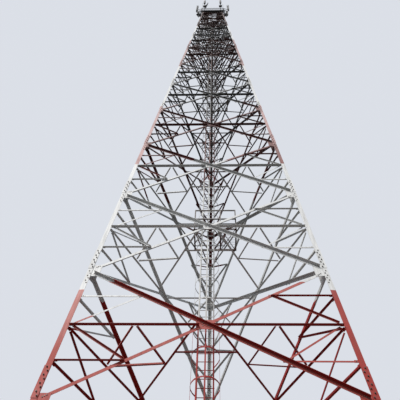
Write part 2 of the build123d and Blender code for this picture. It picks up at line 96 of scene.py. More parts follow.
world = bpy.data.worlds.new("sky")
bpy.context.scene.world = world
world.use_nodes = True
sky = world.node_tree
sky.nodes.clear()
seen = sky.nodes.new("ShaderNodeBackground")
seen.inputs["Color"].default_value = SKY_SEEN
lighting = sky.nodes.new("ShaderNodeBackground")
lighting.inputs["Color"].default_value = SKY_LIGHT
lighting.inputs["Strength"].default_value = SKY_STRENGTH
path = sky.nodes.new("ShaderNodeLightPath")
either = sky.nodes.new("ShaderNodeMath")
either.operation = "MAXIMUM"
any_of = sky.nodes.new("ShaderNodeMath")
any_of.operation = "MAXIMUM"
chosen = sky.nodes.new("ShaderNodeMixShader")
sky_out = sky.nodes.new("ShaderNodeOutputWorld")
joined(
    sky,
    (path.outputs["Is Camera Ray"], either.inputs[0]),
    (path.outputs["Is Glossy Ray"], either.inputs[1]),
    (either.outputs[0], any_of.inputs[0]),
    (path.outputs["Is Transmission Ray"], any_of.inputs[1]),
    (any_of.outputs[0], chosen.inputs[0]),
    (lighting.outputs[0], chosen.inputs[1]),
    (seen.outputs[0], chosen.inputs[2]),
    (chosen.outputs[0], sky_out.inputs["Surface"]),
)

sun_data = bpy.data.lights.new("sun", "SUN")
sun_data.energy = SUN_ENERGY
sun_data.angle = SUN_SPREAD
sun_data.color = SUN_TONE
sun = bpy.data.objects.new("sun", sun_data)
bpy.context.scene.collection.objects.link(sun)
sun.rotation_euler = SUN_WAY.to_track_quat("-Z", "Y").to_euler()


# The floor: a plain pale disc that the foot plates stand on. The viewer's eye is under it, so its
# underside lets everything through. It throws little light back up under the steel.
FLOOR_RADIUS = 90
FLOOR_SIDES = 96
FLOOR_Y = -2.375
FLOOR_GAP = 0.0005
FLOOR_SEEN = (0.72, 0.72, 0.71, 1)
FLOOR_LIT = (0.12, 0.12, 0.116, 1)
floor_mesh = bmesh.new()
bmesh.ops.create_circle(floor_mesh, cap_ends=True, segments=FLOOR_SIDES, radius=FLOOR_RADIUS)
bmesh.ops.translate(floor_mesh, verts=floor_mesh.verts, vec=(0, FLOOR_Y, cad_box[0][2] - FLOOR_GAP))
bmesh.ops.recalc_face_normals(floor_mesh, faces=floor_mesh.faces)
if floor_mesh.faces[:][0].normal.z < 0:
    bmesh.ops.reverse_faces(floor_mesh, faces=floor_mesh.faces)
floor_data = bpy.data.meshes.new("floor")
floor_mesh.to_mesh(floor_data)
floor_mesh.free()
floor = bpy.data.objects.new("floor", floor_data)
bpy.context.scene.collection.objects.link(floor)
floor_finish = bpy.data.materials.new("floor_concrete")
floor_finish.use_nodes = True
tree = floor_finish.node_tree
tree.nodes.clear()
top_side = tree.nodes.new("ShaderNodeBsdfPrincipled")
top_side.inputs["Roughness"].default_value = 0.9
clear_side = tree.nodes.new("ShaderNodeBsdfTransparent")
side = tree.nodes.new("ShaderNodeNewGeometry")
path = tree.nodes.new("ShaderNodeLightPath")
tone = tree.nodes.new("ShaderNodeMix")
tone.data_type = "RGBA"
tone.inputs[6].default_value = FLOOR_LIT
tone.inputs[7].default_value = FLOOR_SEEN
mixed = tree.nodes.new("ShaderNodeMixShader")
out = tree.nodes.new("ShaderNodeOutputMaterial")
joined(
    tree,
    (path.outputs["Is Camera Ray"], tone.inputs[0]),
    (tone.outputs[2], top_side.inputs["Base Color"]),
    (side.outputs["Backfacing"], mixed.inputs[0]),
    (top_side.outputs[0], mixed.inputs[1]),
    (clear_side.outputs[0], mixed.inputs[2]),
    (mixed.outputs[0], out.inputs["Surface"]),
)
floor_data.materials.append(floor_finish)


# The aviation paint: seven bands from the foot to the head, red first, brushed on over the
# galvanising. Faces turned outwards or upwards are faded by the sun and painted lighter, the others
# keep a deep colour under painted shade that goes darker higher up, and rust shows where the paint
# has chipped.
BAND_EDGES = (4.65, 9.0, 12.9, 17.2, 21.5, 24.7)
PAINT_HEIGHT = 31.0
# The reds of outer faces by height: paler where the sun has faded them, then darkened near the head
# as painted shade.
SUN_FADED_AND_SHADED_REDS = (
    (0.0, (0.34, 0.016, 0.010, 1)),
    (0.065, (0.40, 0.042, 0.030, 1)),
    (0.13, (0.48, 0.12, 0.10, 1)),
    (0.36, (0.70, 0.48, 0.46, 1)),
    (0.72, (0.50, 0.34, 0.33, 1)),
    (0.80, (0.17, 0.12, 0.115, 1)),
)
# Painted shade: the deep red and this white are the paints dimmed for faces turned inwards or down,
# the shaded red and white are the near black they turn to high up, and the sunned white is the lit
# white.
DEEP_RED_IN_HALF_SHADE = (0.32, 0.012, 0.009, 1)
SHADED_RED = (0.03, 0.010, 0.008, 1)
SUNNED_WHITE = (0.80, 0.80, 0.79, 1)
HALF_SHADED_WHITE = (0.60, 0.60, 0.585, 1)
SHADED_WHITE = (0.04, 0.04, 0.04, 1)
# Heights over which the painted light on outer faces drops away, and over which the painted shade
# on the other faces deepens to near black.
RED_LIGHT_DROPS = (7.0, 9.5)
WHITE_LIGHT_DROPS = (9.5, 14.0)
RED_SHADE_DEEPENS = ((6.0, 9.5, 1.0, 0.16), (9.5, 15.0, 1.0, 0.2))
WHITE_SHADE_DEEPENS = (7.0, 12.0, 1.0, 0.04)


def group(name, inputs, outputs):
    made = bpy.data.node_groups.new(name, "ShaderNodeTree")
    for label, kind, value in inputs:
        socket = made.interface.new_socket(label, in_out="INPUT", socket_type=kind)
        if value is not None:
            socket.default_value = value
    for label, kind in outputs:
        made.interface.new_socket(label, in_out="OUTPUT", socket_type=kind)
    return made, made.nodes.new("NodeGroupInput"), made.nodes.new("NodeGroupOutput")


def maths(tree, operation, *values, clamp=False):
    node = tree.nodes.new("ShaderNodeMath")
    node.operation = operation
    node.use_clamp = clamp
    for i, value in enumerate(values):
        if isinstance(value, (int, float)):
            node.inputs[i].default_value = value
        else:
            tree.links.new(value, node.inputs[i])
    return node.outputs[0]


def noise(tree, vector, scale, detail=2.0, roughness=0.5):
    node = tree.nodes.new("ShaderNodeTexNoise")
    node.inputs["Scale"].default_value = scale
    node.inputs["Detail"].default_value = detail
    node.inputs["Roughness"].default_value = roughness
    tree.links.new(vector, node.inputs["Vector"])
    return node.outputs["Fac"]


def stretched(tree, vector, scale):
    node = tree.nodes.new("ShaderNodeVectorMath")
    node.operation = "MULTIPLY"
    node.inputs[1].default_value = scale
    tree.links.new(vector, node.inputs[0])
    return node.outputs[0]


def ranged(tree, value, low, high, to_low=0.0, to_high=1.0):
    node = tree.nodes.new("ShaderNodeMapRange")
    limits = {"From Min": low, "From Max": high, "To Min": to_low, "To Max": to_high}
    for label, amount in limits.items():
        if isinstance(amount, (int, float)):
            node.inputs[label].default_value = amount
        else:
            tree.links.new(amount, node.inputs[label])
    tree.links.new(value, node.inputs["Value"])
    return node.outputs[0]


def mix(tree, share, first, second):
    node = tree.nodes.new("ShaderNodeMix")
    node.data_type = "RGBA"
    for index, value in ((0, share), (6, first), (7, second)):
        if isinstance(value, (int, float, tuple)):
            node.inputs[index].default_value = value
        else:
            tree.links.new(value, node.inputs[index])
    return node.outputs[2]


bands, given, result = group(
    "paint_bands",
    [("Place", "NodeSocketVector", None), ("Lift", "NodeSocketFloat", 0.0)],
    [("Red", "NodeSocketFloat")],
)
place = given.outputs["Place"]
apart = bands.nodes.new("ShaderNodeSeparateXYZ")
bands.links.new(place, apart.inputs[0])
wander = ranged(bands, noise(bands, place, 3.0), 0, 1, -0.05, 0.05)
lifted = maths(bands, "ADD", apart.outputs["Z"], given.outputs["Lift"])
height = maths(bands, "DIVIDE", maths(bands, "ADD", lifted, wander), PAINT_HEIGHT)
ramp = bands.nodes.new("ShaderNodeValToRGB")
ramp.color_ramp.interpolation = "CONSTANT"
ramp.color_ramp.elements[0].color = (1, 1, 1, 1)
ramp.color_ramp.elements[1].position = BAND_EDGES[0] / PAINT_HEIGHT
ramp.color_ramp.elements[1].color = (0, 0, 0, 1)
for i, edge in enumerate(BAND_EDGES[1:]):
    stop = ramp.color_ramp.elements.new(edge / PAINT_HEIGHT)
    stop.color = (1, 1, 1, 1) if i % 2 == 0 else (0, 0, 0, 1)
bands.links.new(height, ramp.inputs["Fac"])
bands.links.new(ramp.outputs["Color"], result.inputs["Red"])

ageing_and_shade, given, result = group(
    "paint_ageing_and_shade",
    [
        ("Place", "NodeSocketVector", None),
        ("Side", "NodeSocketFloat", 0.0),
        ("Fading", "NodeSocketFloat", 0.9),
        ("Upper", "NodeSocketFloat", 1.0),
    ],
    [("White", "NodeSocketColor"), ("Red", "NodeSocketColor")],
)
apart = ageing_and_shade.nodes.new("ShaderNodeSeparateXYZ")
ageing_and_shade.links.new(given.outputs["Place"], apart.inputs[0])
sunned = ranged(ageing_and_shade, given.outputs["Side"], 0.05, 0.35)
cloudy = ranged(ageing_and_shade, noise(ageing_and_shade, given.outputs["Place"], 2.2, 3.0), 0.35, 0.65, 0.7, 1.0)
height = apart.outputs["Z"]
# Painted light: above these heights only the Upper share of the lighter colour of outer faces
# stays.
red_kept = ranged(ageing_and_shade, height, *RED_LIGHT_DROPS, 1.0, given.outputs["Upper"])
white_kept = ranged(ageing_and_shade, height, *WHITE_LIGHT_DROPS, 1.0, given.outputs["Upper"])
# The share of the sun-faded colour; it also brings painted light, since the unfaded red is the
# half-shaded one.
faded = maths(ageing_and_shade, "MULTIPLY", sunned, cloudy)
faded = maths(ageing_and_shade, "MULTIPLY", faded, given.outputs["Fading"], clamp=True)
faded = maths(ageing_and_shade, "MULTIPLY", faded, red_kept)
# Painted shade: with height the faces turned inwards or down go from the half-shaded colours to the
# shaded ones.
unshaded_red_share = maths(ageing_and_shade, "MULTIPLY", *(ranged(ageing_and_shade, height, *step) for step in RED_SHADE_DEEPENS))
unshaded_white_share = ranged(ageing_and_shade, height, *WHITE_SHADE_DEEPENS)
faded_then_shaded_reds = ageing_and_shade.nodes.new("ShaderNodeValToRGB")
stops = faded_then_shaded_reds.color_ramp.elements
for i, (at, colour) in enumerate(SUN_FADED_AND_SHADED_REDS):
    stop = stops[i] if i < 2 else stops.new(at)
    stop.position = at
    stop.color = colour
ageing_and_shade.links.new(maths(ageing_and_shade, "DIVIDE", height, PAINT_HEIGHT), faded_then_shaded_reds.inputs["Fac"])
red = mix(ageing_and_shade, unshaded_red_share, SHADED_RED, DEEP_RED_IN_HALF_SHADE)
red = mix(ageing_and_shade, faded, red, faded_then_shaded_reds.outputs["Color"])
ageing_and_shade.links.new(red, result.inputs["Red"])
# Painted light and shade: the white is lit on outer faces and shaded on the others.
white = mix(ageing_and_shade, unshaded_white_share, SHADED_WHITE, HALF_SHADED_WHITE)
white = mix(ageing_and_shade, maths(ageing_and_shade, "MULTIPLY", sunned, white_kept), white, SUNNED_WHITE)
ageing_and_shade.links.new(white, result.inputs["White"])

weathered, given, result = group(
    "weathered_coat",
    [
        ("Place", "NodeSocketVector", None),
        ("Coat", "NodeSocketColor", (0.8, 0.8, 0.8, 1)),
        ("Faded", "NodeSocketColor", (0.8, 0.8, 0.8, 1)),
        ("Bare", "NodeSocketColor", (0.3, 0.3, 0.3, 1)),
        ("Rust", "NodeSocketColor", (0.2, 0.07, 0.03, 1)),
        ("Fading", "NodeSocketFloat", 0.5),
        ("Grime", "NodeSocketFloat", 0.3),
        ("Chips", "NodeSocketFloat", 0.2),
    ],
    [
        ("Colour", "NodeSocketColor"),
        ("Roughness", "NodeSocketFloat"),
        ("Height", "NodeSocketFloat"),
    ],
)
place = given.outputs["Place"]
cloudy = ranged(weathered, noise(weathered, place, 1.3, 3.0), 0.3, 0.7)
faded = mix(
    weathered,
    maths(weathered, "MULTIPLY", cloudy, given.outputs["Fading"], clamp=True),
    given.outputs["Coat"],
    given.outputs["Faded"],
)
runs = noise(weathered, stretched(weathered, place, (38, 38, 1.6)), 1.0, 3.0, 0.6)
stained = ranged(weathered, runs, 0.42, 0.72)
dirt = maths(weathered, "MULTIPLY", stained, given.outputs["Grime"], clamp=True)
streaked = mix(weathered, dirt, faded, (0.10, 0.085, 0.07, 1))
flakes = noise(weathered, place, 34.0, 4.0, 0.65)
chipped = maths(weathered, "MULTIPLY", given.outputs["Chips"], 0.22)
flake_edge = maths(weathered, "SUBTRACT", 0.80, chipped)
chip = ranged(weathered, flakes, flake_edge, maths(weathered, "ADD", flake_edge, 0.025))
rusting = ranged(weathered, noise(weathered, place, 6.0, 3.0), 0.45, 0.6)
beneath = mix(weathered, rusting, given.outputs["Bare"], given.outputs["Rust"])
coat = mix(weathered, chip, streaked, beneath)
weathered.links.new(coat, result.inputs["Colour"])
rough = maths(weathered, "ADD", 0.48, maths(weathered, "MULTIPLY", cloudy, 0.2))
rough = maths(weathered, "ADD", rough, maths(weathered, "MULTIPLY", dirt, 0.3), clamp=True)
weathered.links.new(rough, result.inputs["Roughness"])
brushed = noise(weathered, stretched(weathered, place, (90, 90, 30)), 1.0, 2.0)
strokes = maths(weathered, "MULTIPLY", brushed, 0.3)
pits = maths(weathered, "MULTIPLY", chip, 0.7)
weathered.links.new(maths(weathered, "SUBTRACT", strokes, pits), result.inputs["Height"])


def new_finish(name):
    made = bpy.data.materials.new(name)
    made.use_nodes = True
    tree = made.node_tree
    tree.nodes.clear()
    shader = tree.nodes.new("ShaderNodeBsdfPrincipled")
    out = tree.nodes.new("ShaderNodeOutputMaterial")
    tree.links.new(shader.outputs[0], out.inputs["Surface"])
    place = tree.nodes.new("ShaderNodeTexCoord").outputs["Object"]
    return made, tree, shader, place


def use(tree, made, **values):
    node = tree.nodes.new("ShaderNodeGroup")
    node.node_tree = made
    for label, value in values.items():
        if isinstance(value, (int, float, tuple)):
            node.inputs[label].default_value = value
        else:
            tree.links.new(value, node.inputs[label])
    return node.outputs


def bumped(tree, shader, height, strength, distance):
    bump = tree.nodes.new("ShaderNodeBump")
    bump.inputs["Strength"].default_value = strength
    bump.inputs["Distance"].default_value = distance
    tree.links.new(height, bump.inputs["Height"])
    tree.links.new(bump.outputs["Normal"], shader.inputs["Normal"])


MAST_AXIS = (0.0, -2.3753, 0.0)


def weather_side(tree, place):
    """How far a face looks outwards or upwards, where sun and rain bleach the paint and where it is
    painted lighter; faces turned away get painted shade.
    """
    steps = (
        ("SUBTRACT", MAST_AXIS), ("MULTIPLY", (1, 1, 0)), ("NORMALIZE", None), ("ADD", (0, 0, 0.6)),
    )
    vector = place
    for operation, amount in steps:
        node = tree.nodes.new("ShaderNodeVectorMath")
        node.operation = operation
        if amount:
            node.inputs[1].default_value = amount
        tree.links.new(vector, node.inputs[0])
        vector = node.outputs["Vector"]
    looks = tree.nodes.new("ShaderNodeVectorMath")
    looks.operation = "DOT_PRODUCT"
    tree.links.new(vector, looks.inputs[0])
    tree.links.new(tree.nodes.new("ShaderNodeNewGeometry").outputs["Normal"], looks.inputs[1])
    return looks.outputs["Value"]


def banded_paint(name, lift, fading, grime, chips, upper, side=None, lift_right=None):
    """A paint in the bands. Lift lowers their edges, and upper is the share of the faded and
    painted-light colour of outer faces that stays high up.
    """
    made, tree, shader, place = new_finish(name)
    side = weather_side(tree, place) if side is None else side
    if lift_right is not None:
        apart = tree.nodes.new("ShaderNodeSeparateXYZ")
        tree.links.new(place, apart.inputs[0])
        lift = ranged(tree, apart.outputs["X"], 0.3, 0.5, lift, lift_right)
    red_share = use(tree, bands, Place=place, Lift=lift)["Red"]
    aged = use(tree, ageing_and_shade, Place=place, Side=side, Fading=fading, Upper=upper)
    coat = mix(tree, red_share, aged["White"], aged["Red"])
    worn = use(
        tree, weathered, Place=place, Coat=coat, Faded=coat,
        Bare=(0.30, 0.31, 0.32, 1), Rust=(0.17, 0.06, 0.03, 1),
        Fading=0.0, Grime=grime, Chips=chips,
    )
    tree.links.new(worn["Colour"], shader.inputs["Base Color"])
    tree.links.new(worn["Roughness"], shader.inputs["Roughness"])
    shader.inputs["Specular IOR Level"].default_value = 0.25
    bumped(tree, shader, worn["Height"], 0.25, 0.002)
    return made


mast_paint = banded_paint(
    "mast_paint", lift=0.0, fading=0.95, grime=0.30, chips=0.20, upper=0.35)
leg_paint = banded_paint(
    "leg_paint", lift=0.19, fading=1.0, grime=0.25, chips=0.20, upper=1.0)
# Two lower legs fade less than the others and so stay a deeper red.
less_faded_paint = banded_paint(
    "less_faded_paint", lift=0.19, fading=0.45, grime=0.35, chips=0.25, upper=1.0)
small_paint = banded_paint(
    "small_paint", lift=0.75, fading=0.9, grime=0.35, chips=0.25, upper=0.25, lift_right=-0.25)
# The ladder stands inside the mast, so it is given a fixed side that turns it mostly inwards:
# mostly painted shade.
ladder_paint = banded_paint(
    "ladder_paint", lift=0.75, fading=0.9, grime=0.45, chips=0.35, upper=0.6, side=0.12)


def finish_nodes(finish, *starts):
    for name, node in nodes.items():
        if name.startswith(starts):
            node.data.materials.clear()
            node.data.materials.append(finish)


finish_nodes(mast_paint, "bracing_", "plan_bracing_")
finish_nodes(leg_paint, "leg_")
finish_nodes(less_faded_paint, "leg_front_right_lower", "leg_back_lower")


# The redundant members: small angles from the middle of each half diagonal to the leg and to the
# leg plate of the horizontal. Those on the outer diagonal lie inside the plates, those on the
# inner diagonal outside, each on a packing piece, with one bolt at either end.
BASE_WIDTH = 4.18
TAPER = 0.11
MAST_HEIGHT = 28.5
PANELS = 12
TIER_PANELS = 4
PANEL_RISE = 2.5
BASE_NODE = 0.26
HEAD_NODE = 0.15
LEG_FLANGES = (0.076, 0.070, 0.062)
PLATE_FACE = -0.006
PLATE_BACK = -0.011
HORIZONTAL_START = 0.085
LEG_GAP = 0.004
FOOT_Y = BASE_WIDTH / math.sqrt(3) - LEG_FLANGES[0] / 2
FACE_LEAN = math.atan(TAPER / (2 * math.sqrt(3)))


def width_at(z):
    return BASE_WIDTH - TAPER * z


def level(index):
    if index == 0:
        return BASE_NODE
    return MAST_HEIGHT - HEAD_NODE if index == PANELS else index * PANEL_RISE


def crossing(index):
    low, high = width_at(level(index)), width_at(level(index + 1))
    return level(index) + (level(index + 1) - level(index)) * low / (low + high)


def face_frame(turn):
    """Right, up and outward directions of a face; face 0 looks to the front."""
    spin = Matrix.Rotation(math.radians(120 * turn), 3, "Z")
    right = spin @ Vector((1, 0, 0))
    upward = spin @ Vector((0, math.sin(FACE_LEAN), math.cos(FACE_LEAN)))
    outward = spin @ Vector((0, -math.cos(FACE_LEAN), math.sin(FACE_LEAN)))
    return right, upward, outward


def on_face(turn, x, z, out=0.0):
    """A point of a face: x to the right, z the height, out from the legs' outer faces."""
    spin = Matrix.Rotation(math.radians(120 * turn), 3, "Z")
    inradius = width_at(z) / (2 * math.sqrt(3))
    place = spin @ Vector((x, -inradius, z)) + face_frame(turn)[2] * out
    return place - Vector((0, FOOT_Y, 0))


def extruded(mesh, start, end, outline, across, outward):
    """Sweeps an outline of (across, outward) points from start to end."""
    corners = [mesh.verts.new(start + across * a + outward * b) for a, b in outline]
    section = mesh.faces.new(corners)
    swept = bmesh.ops.extrude_face_region(mesh, geom=[section])
    moved = [v for v in swept["geom"] if isinstance(v, bmesh.types.BMVert)]
    bmesh.ops.translate(mesh, verts=moved, vec=end - start)


def angle_outline(width, stand, thickness, base, edge):
    """An L: a flange flat on the height base, and one standing at its upper or lower edge."""
    half = width / 2 * edge
    wall = half - thickness * edge
    skin = base + math.copysign(thickness, stand)
    tip = base + stand
    return [(-half, base), (half, base), (half, tip), (wall, tip), (wall, skin), (-half, skin)]


def strip_outline(width, low, high):
    return [(-width / 2, low), (width / 2, low), (width / 2, high), (-width / 2, high)]


def face_bar(mesh, turn, start, end, outline):
    """A bar between two (x, z) points of a face; across counts upwards."""
    right, upward, outward = face_frame(turn)
    first, last = on_face(turn, *start), on_face(turn, *end)
    across = outward.cross((last - first).normalized())
    if across.z < 0:
        across = -across
    extruded(mesh, first, last, outline, across, outward)


def piece(name, mesh, finish):
    bmesh.ops.remove_doubles(mesh, verts=mesh.verts, dist=0.00002)
    bmesh.ops.recalc_face_normals(mesh, faces=mesh.faces)
    data = bpy.data.meshes.new(name)
    mesh.to_mesh(data)
    mesh.free()
    data.materials.append(finish)
    made = bpy.data.objects.new(name, data)
    bpy.context.scene.collection.objects.link(made)
    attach(made, "root")
    return made


def tier_of(index):
    return min(index // TIER_PANELS, len(LEG_FLANGES) - 1)


REDUNDANT_WIDTHS = (0.027, 0.025, 0.023)
REDUNDANT_STAND = 0.034
REDUNDANT_SKIN = 0.0025
TAB_LAP = 0.03
TAB_REACH = 0.045
SEAT_GAP = 0.055
TAB_WIDER = 1.5
PACK_WIDER = 1.7
PACK_HALF = 1.2
bolt_places = []
redundants = bmesh.new()
for index in range(PANELS - 1):
    tier = tier_of(index)
    width = REDUNDANT_WIDTHS[tier]
    cross = Vector((0, crossing(index)))
    for turn in range(3):
        for side in (-1, 1):
            seat = Vector((side * (width_at(cross.y) / 2 - HORIZONTAL_START), cross.y))
            for node in (index, index + 1):
                foot = Vector((side * width_at(level(node)) / 2, level(node)))
                middle = (foot + cross) / 2
                on_outer = (node == index) == (side > 0)
                base, stand = (PLATE_BACK, -width) if on_outer else (PLATE_FACE, REDUNDANT_STAND)
                leg_edge = side * (width_at(middle.y) / 2 - LEG_FLANGES[tier])
                tab_end = leg_edge + side * TAB_LAP
                bar_end = tab_end if on_outer else leg_edge - side * LEG_GAP
                edge = 1 if on_outer else -1
                level_angle = angle_outline(width, stand, REDUNDANT_SKIN, base, edge)
                face_bar(redundants, turn, middle, (bar_end, middle.y), level_angle)
                tab_start = leg_edge - side * TAB_REACH
                face_bar(redundants, turn, (tab_start, middle.y), (tab_end, middle.y),
                         strip_outline(width * TAB_WIDER, PLATE_BACK, PLATE_FACE))
                towards = (seat - middle).normalized()
                end = seat - towards * SEAT_GAP
                face_bar(redundants, turn, middle + towards * width * 0.9, end,
                         angle_outline(width, stand * 0.8, REDUNDANT_SKIN, base, 1))
                pack = Vector((width * PACK_HALF, 0))
                face_bar(redundants, turn, middle - pack, middle + pack,
                         strip_outline(width * PACK_WIDER, PLATE_BACK, PLATE_FACE))
                skin = PLATE_FACE + REDUNDANT_SKIN
                spots = (
                    middle + Vector((side * 0.02, 0)),
                    middle + towards * 0.045,
                    end - towards * 0.015,
                    Vector((leg_edge - side * 0.022, middle.y)),
                )
                for spot in spots:
                    bolt_places.append((turn, spot.x, spot.y, PLATE_FACE if on_outer else skin))
piece("redundant_members", redundants, small_paint)


# The outer angles of the front face's horizontals, which also carry the guard rails: there each
# horizontal is two angles back to back on the plates. The outer one has its level flange at the
# bottom, so from below only that dark underside shows.
OUTER_ANGLE = 0.046
OUTER_SKIN = 0.003
OUTER_BOLTS = (0.02, 0.045, 0.07)
CROSSING_GAP = 0.005
DIAGONAL_WIDTHS = (0.050, 0.042, 0.034)
outer_angles = bmesh.new()
for index in range(PANELS):
    tier = tier_of(index)
    z = crossing(index)
    rise = level(index + 1) - level(index)
    slope = rise / ((width_at(level(index)) + width_at(level(index + 1))) / 2)
    past = OUTER_ANGLE / 2 + DIAGONAL_WIDTHS[tier] / 2 * math.hypot(1, slope)
    clear = past / slope + CROSSING_GAP
    for turn in range(3):
        for side in (-1, 1):
            outside = side * (width_at(z) / 2 - LEG_FLANGES[tier] - LEG_GAP)
            if turn == 0:
                face_bar(outer_angles, turn, (side * clear, z), (outside, z),
                         angle_outline(OUTER_ANGLE, OUTER_ANGLE, OUTER_SKIN, PLATE_FACE, -1))
            for step in OUTER_BOLTS:
                seat = PLATE_FACE + (OUTER_SKIN if turn == 0 else 0.0)
                bolt_places.append((turn, outside - side * step, z, seat))
                bolt_places.append((turn, side * (clear + step), z, seat))
piece("outer_angles", outer_angles, mast_paint)


# The close bracing of the upper part: there each panel has a second, flatter pair of diagonals in
# either half, small angles between the legs' flanges, and a horizontal at the leg nodes.
CLOSE_FIRST = 7
CLOSE_WIDTH = 0.026
CLOSE_STAND = 0.036
CLOSE_SKIN = 0.003
CLOSE_LEAST_RISE = 0.5
CLOSE_NODE_GAP = 0.05
CLOSE_DROP = 0.03
CLOSE_SHORTER = 0.02
CLOSE_INNER_BASE = PLATE_BACK - 0.004
CLOSE_OUTER_BASE = PLATE_FACE + 0.002
close_bracing = bmesh.new()
for index in range(CLOSE_FIRST, PANELS):
    flange = LEG_FLANGES[tier_of(index)] + LEG_GAP
    for low, high in ((level(index), crossing(index)), (crossing(index), level(index + 1))):
        if low < crossing(CLOSE_FIRST) or high - low < CLOSE_LEAST_RISE:
            continue
        low, high = low + CLOSE_NODE_GAP, high - CLOSE_NODE_GAP
        for turn in range(3):
            for side, base in ((-1, PLATE_BACK), (1, PLATE_FACE)):
                face_bar(close_bracing, turn, (side * (width_at(low) / 2 - flange), low),
                         (-side * (width_at(high) / 2 - flange), high),
                         angle_outline(CLOSE_WIDTH, side * CLOSE_STAND, CLOSE_SKIN, base, -side))
    if index > CLOSE_FIRST:
        reach = width_at(level(index)) / 2 - flange - CLOSE_SHORTER
        z = level(index) - CLOSE_DROP
        inner = angle_outline(CLOSE_WIDTH, -CLOSE_STAND, CLOSE_SKIN, CLOSE_INNER_BASE, 1)
        outer = angle_outline(CLOSE_WIDTH, CLOSE_STAND, CLOSE_SKIN, CLOSE_OUTER_BASE, -1)
        for turn in range(3):
            for outline in (inner, outer)[:2 if turn == 0 else 1]:
                face_bar(close_bracing, turn, (-reach, z), (reach, z), outline)
piece("close_bracing", close_bracing, small_paint)


# The finer plan bracing: in each corner of a level three angles join the middles of the two
# horizontals and of the inner bar, on the horizontals' inner flanges.
PLAN_SUB_WIDTH = 0.025
PLAN_SUB_SKIN = 0.003
PLAN_SEAT_GAP = 0.055
PLAN_OFFSET = 0.016
PLAN_CORNER_SHARE = 0.034
PLAN_CORNER_LEAST = 0.060
PLAN_LEAST_WIDTH = 1.5
HORIZONTAL_WIDTH = 0.026


def plan_level(index):
    along = crossing(index) / math.cos(FACE_LEAN) + HORIZONTAL_WIDTH / 2
    return along * math.cos(FACE_LEAN) + PLATE_BACK * math.sin(FACE_LEAN)


plan_members = bmesh.new()
edge, wall = PLAN_SUB_WIDTH / 2, -PLAN_SUB_WIDTH / 2 + PLAN_SUB_SKIN
sub_outline = [(-edge, 0), (edge, 0), (edge, PLAN_SUB_SKIN), (wall, PLAN_SUB_SKIN),
               (wall, PLAN_SUB_WIDTH), (-edge, PLAN_SUB_WIDTH)]
UP = Vector((0, 0, 1))
TO_ROW = Vector((0, -FOOT_Y, 0))
for index in range(PANELS):
    z = plan_level(index)
    width = width_at(z)
    if width < PLAN_LEAST_WIDTH:
        continue
    inradius = width / (2 * math.sqrt(3))
    reach = max(PLAN_CORNER_SHARE * width_at(crossing(index)), PLAN_CORNER_LEAST)
    for turn in range(3):
        here = Matrix.Rotation(math.radians(120 * turn), 3, "Z")
        after = Matrix.Rotation(math.radians(120 * (turn + 1)), 3, "Z")
        start = here @ Vector((reach, -inradius, z))
        end = after @ Vector((-reach, -inradius, z))
        halfway = (start + end) / 2
        first = here @ Vector((width / 4, -inradius, z))
        second = after @ Vector((-width / 4, -inradius, z))
        out = (first + second - 2 * halfway).normalized()
        halfway = halfway + out * PLAN_OFFSET
        for a, b in ((first, second), (first, halfway), (second, halfway)):
            run = (b - a).normalized()
            low = a + run * PLAN_SEAT_GAP + TO_ROW
            high = b - run * (PLAN_SEAT_GAP if b is second else LEG_GAP) + TO_ROW
            extruded(plan_members, low, high, sub_outline, UP.cross(run), UP)
piece("plan_members", plan_members, mast_paint)


# The climbing ladder: round rungs riveted through the two stringers, every 0.3 m on the real one,
# in a cage of flat hoops with five upright straps inside them. All of it is painted in the bands.
LADDER_DEPTH = 0.475
LADDER_WIDTH = 0.210
LADDER_TOP = 29.0
RUNG_PITCH = 0.15
CAGE_RADIUS = 0.185
CAGE_REACH = 0.365
HOOP_PITCH = 0.5
HOOP_DEPTH = 0.025
HOOP_SKIN = 0.003
HOOP_FOOT = 0.006
HOOP_INNER_FOOT = 0.0032
HOOP_BOLT = 0.006
HOOP_COUNTS = range(4, 56)
RUNG_LOWEST = 0.31
RUNG_RADIUS = 0.0055
RUNG_OUT = -0.015
RUNG_PAST = 0.009
STRAP_ENDS = (1.975, 27.5)
STRAP_HALF = (0.010, 0.0015)
STRAP_TURNS = (-90, -35, 0, 35, 90)
LADDER_FOOT = Vector((0, LADDER_DEPTH - width_at(0) / (2 * math.sqrt(3)) - FOOT_Y, 0))
RIGHT, LADDER_UP, LADDER_OUT = face_frame(0)


def ladder_point(x, along, out):
    return LADDER_FOOT + RIGHT * x + LADDER_UP * along + LADDER_OUT * out


def rod(mesh, start, end, radius, sides):
    """A round bar with flat ends."""
    run = end - start
    place = Matrix.Translation((start + end) / 2) @ run.to_track_quat("Z", "Y").to_matrix().to_4x4()
    bmesh.ops.create_cone(mesh, segments=sides, radius1=radius, radius2=radius,
                          depth=run.length, cap_ends=True, matrix=place)


rungs = bmesh.new()
reach = LADDER_WIDTH / 2 + RUNG_PAST
last = math.floor((LADDER_TOP - 0.01) / RUNG_PITCH)
for count in range(math.ceil(RUNG_LOWEST / RUNG_PITCH), last + 1):
    along = count * RUNG_PITCH
    left, right = (ladder_point(x, along, RUNG_OUT) for x in (-reach, reach))
    rod(rungs, left, right, RUNG_RADIUS, 8)
rungs = piece("rungs", rungs, ladder_paint)
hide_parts("ladder_rungs")


def hoop_line(radius, foot):
    """The (across, out) points of half a hoop from its foot on the stringer to the front."""
    centre = CAGE_REACH - CAGE_RADIUS
    line = [(foot, 0.0), (radius * 0.86, centre * 0.42), (radius * 0.97, centre * 0.72)]
    for step in range(7):
        turn = math.radians(step * 15)
        line.append((radius * math.cos(turn), centre + radius * math.sin(turn)))
    return line


